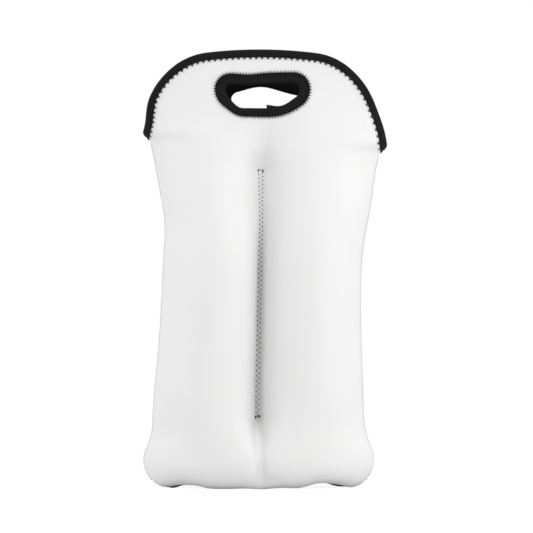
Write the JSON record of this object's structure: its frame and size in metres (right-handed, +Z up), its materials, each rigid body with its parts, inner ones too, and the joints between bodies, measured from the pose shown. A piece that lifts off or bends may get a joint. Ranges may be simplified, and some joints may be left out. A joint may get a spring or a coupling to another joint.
{
  "type": "bottle carrier",
  "caption": "Soft neoprene carrier with side-by-side bottle pockets, a sewn centre seam, a flat base and bound domed handles with hand slots.",
  "frame": {"origin": "on the table, under the middle of the base", "axes": "+Z up along the bottles, +X to the right as seen from the front, front panel towards -Y"},
  "size_m": [0.2208, 0.0916, 0.401],
  "materials": {
    "white_knit": "fine matte jersey knit bonded to the foam",
    "black_knit": "matte jersey knit",
    "foam_core": "closed-cell foam, hidden between the knits",
    "binding_tape": "folded woven tape",
    "black_thread": "spun polyester thread",
    "white_thread": "spun polyester thread"
  },
  "bodies": {
    "bottle_body": {"front_body_face": "white_knit", "front_body_foam": "foam_core", "front_body_lining": "black_knit", "back_body_face": "white_knit", "back_body_foam": "foam_core", "back_body_lining": "black_knit", "front_fold_face": "white_knit", "front_fold_foam": "foam_core", "front_fold_lining": "black_knit", "back_fold_face": "white_knit", "back_fold_foam": "foam_core", "back_fold_lining": "black_knit", "front_divider_stitch": "white_thread", "front_divider_bartacks": "white_thread", "back_divider_stitch": "white_thread", "back_divider_bartacks": "white_thread", "base_face": "black_knit", "base_foam": "foam_core", "base_lining": "black_knit", "base_stitch": "black_thread", "left_side_stitch": "white_thread", "right_side_stitch": "white_thread"},
    "front_handle": {"front_handle_face": "white_knit", "front_handle_foam": "foam_core", "front_handle_lining": "black_knit", "front_mouth_tape": "binding_tape", "front_slot_tape": "binding_tape", "front_mouth_stitch": "black_thread", "front_slot_stitch": "black_thread"},
    "back_handle": {"back_handle_face": "white_knit", "back_handle_foam": "foam_core", "back_handle_lining": "black_knit", "back_mouth_tape": "binding_tape", "back_slot_tape": "binding_tape", "back_mouth_stitch": "black_thread", "back_slot_stitch": "black_thread"}
  },
  "joints": [
    {"name": "front_handle_flex", "type": "hinge", "parent": "bottle_body", "child": "front_handle", "pos_m": [0, 0, 0.311], "axis": [1, 0, 0], "range_deg": [-7, 30], "stiffness_Nm_per_rad": 0.2, "deforming": ["front_fold_face", "front_fold_foam", "front_fold_lining"]},
    {"name": "back_handle_flex", "type": "hinge", "parent": "bottle_body", "child": "back_handle", "pos_m": [0, 0, 0.311], "axis": [-1, 0, 0], "range_deg": [-7, 30], "stiffness_Nm_per_rad": 0.2, "deforming": ["back_fold_face", "back_fold_foam", "back_fold_lining"]}
  ]
}
